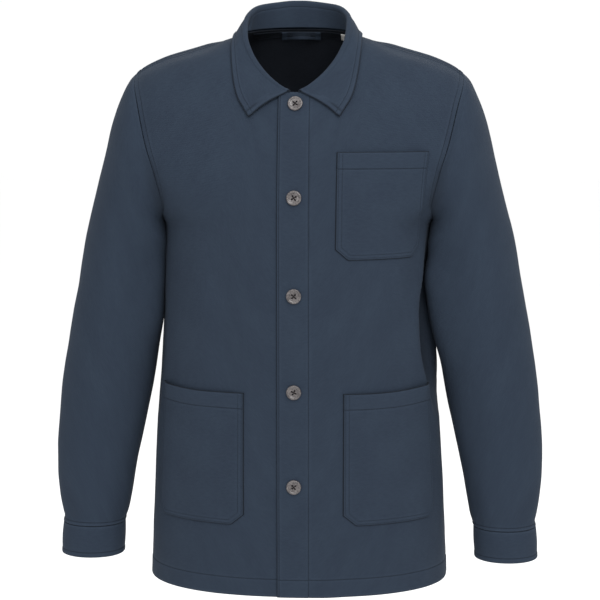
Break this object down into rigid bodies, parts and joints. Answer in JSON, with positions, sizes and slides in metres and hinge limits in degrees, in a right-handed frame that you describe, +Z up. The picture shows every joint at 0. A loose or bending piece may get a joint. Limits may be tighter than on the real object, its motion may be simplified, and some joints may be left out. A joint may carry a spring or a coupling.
{
  "type": "chore jacket",
  "caption": "Worn hip-length cotton work jacket with a pointed turn-down collar, buttoned front, three patch pockets and long cuffed sleeves, standing hollow.",
  "frame": {"origin": "midway between the two points where the shoulder seams meet the neck, where the wearer's shoulders carry the jacket", "axes": "+Z up, -Y the front, +X the wearer's left"},
  "size_m": [0.682, 0.2817, 0.8043],
  "materials": {
    "cloth": "matt woven cotton, slate navy",
    "button": "polished grey-brown horn look",
    "tape": "matt cotton tape",
    "tag": "plain white satin tape"
  },
  "bodies": {
    "root": {"back": "cloth", "front_left": "cloth", "front_right": "cloth", "sleeve_left": "cloth", "sleeve_right": "cloth", "cuff_left": "cloth", "cuff_right": "cloth", "collar": "cloth", "pocket_chest": "cloth", "pocket_lower_left": "cloth", "pocket_lower_right": "cloth", "button_1": "button", "button_2": "button", "button_3": "button", "button_4": "button", "button_5": "button", "neck_tape": "tape", "hanging_loop": "tape", "neck_tag": "tag"}
  },
  "joints": []
}
